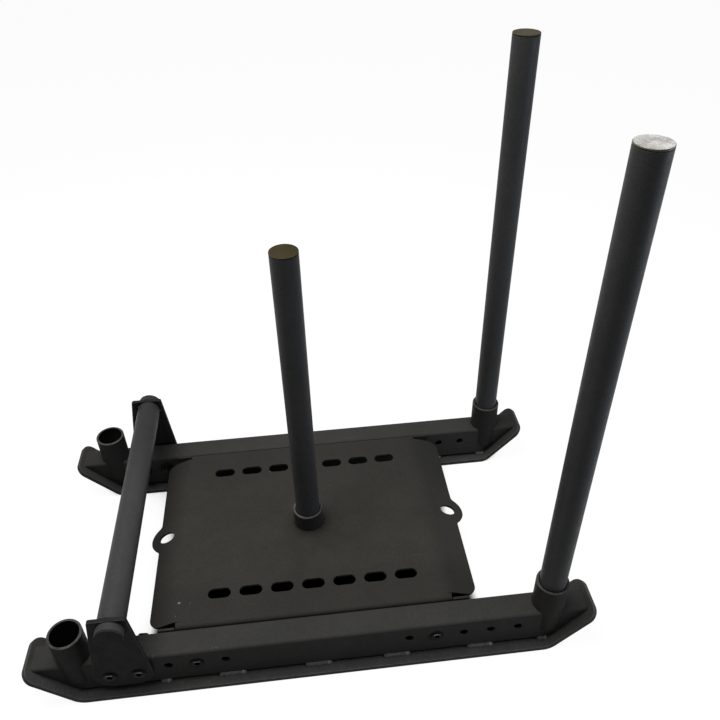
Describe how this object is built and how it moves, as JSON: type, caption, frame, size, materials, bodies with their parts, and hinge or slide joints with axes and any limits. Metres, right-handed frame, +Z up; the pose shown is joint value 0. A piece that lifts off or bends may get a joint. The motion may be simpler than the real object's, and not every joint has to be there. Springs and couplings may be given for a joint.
{
  "type": "push sled",
  "caption": "Low push sled with skid-shod box rails, a folded deck plate with a post for weight plates, a low front push bar and tall rear uprights that lift out of round sockets.",
  "frame": {"origin": "on the floor under the middle of the sled", "axes": "+X along the rails towards the rear, where the uprights stand, +Y towards the right-hand rail, +Z up"},
  "size_m": [1.0356, 0.6, 0.973],
  "materials": {
    "rail_coat": "satin powder coat",
    "skid_coat": "satin powder coat, worn along the edges",
    "deck_coat": "satin powder coat",
    "pole_coat": "semi-gloss powder coat",
    "cap_coat": "semi-gloss powder coat",
    "fastener_steel": "black oxide, slightly shiny"
  },
  "bodies": {
    "sled_frame": {"left_rail_tube": "rail_coat", "left_skid_plate": "skid_coat", "front_left_socket": "rail_coat", "front_left_socket_stop": "rail_coat", "rear_left_socket": "rail_coat", "rear_left_socket_stop": "rail_coat", "left_bar_bracket": "rail_coat", "low_push_bar_left_cap": "pole_coat", "left_bracket_front_bolt": "fastener_steel", "left_bracket_front_nut": "fastener_steel", "left_bracket_rear_bolt": "fastener_steel", "left_bracket_rear_nut": "fastener_steel", "left_deck_front_bolt": "fastener_steel", "left_deck_front_nut": "fastener_steel", "left_deck_rear_bolt": "fastener_steel", "left_deck_rear_nut": "fastener_steel", "right_rail_tube": "rail_coat", "right_skid_plate": "skid_coat", "front_right_socket": "rail_coat", "front_right_socket_stop": "rail_coat", "rear_right_socket": "rail_coat", "rear_right_socket_stop": "rail_coat", "right_bar_bracket": "rail_coat", "low_push_bar_right_cap": "pole_coat", "right_bracket_front_bolt": "fastener_steel", "right_bracket_front_nut": "fastener_steel", "right_bracket_rear_bolt": "fastener_steel", "right_bracket_rear_nut": "fastener_steel", "right_deck_front_bolt": "fastener_steel", "right_deck_front_nut": "fastener_steel", "right_deck_rear_bolt": "fastener_steel", "right_deck_rear_nut": "fastener_steel", "low_push_bar": "pole_coat", "deck_plate": "deck_coat", "deck_front_rib": "deck_coat", "deck_rear_rib": "deck_coat", "post_socket": "rail_coat", "post_socket_stop": "rail_coat"},
    "left_upright_pole": {"left_upright": "pole_coat", "left_upright_cap": "cap_coat"},
    "right_upright_pole": {"right_upright": "pole_coat", "right_upright_cap": "cap_coat"},
    "weight_post_pole": {"weight_post": "pole_coat", "weight_post_cap": "cap_coat"}
  },
  "joints": [
    {"name": "left_upright_lift", "type": "slide", "parent": "sled_frame", "child": "left_upright_pole", "axis": [0, 0, 1], "range_m": [0, 0.105]},
    {"name": "right_upright_lift", "type": "slide", "parent": "sled_frame", "child": "right_upright_pole", "axis": [0, 0, 1], "range_m": [0, 0.105]},
    {"name": "weight_post_lift", "type": "slide", "parent": "sled_frame", "child": "weight_post_pole", "axis": [0, 0, 1], "range_m": [0, 0.078]}
  ]
}
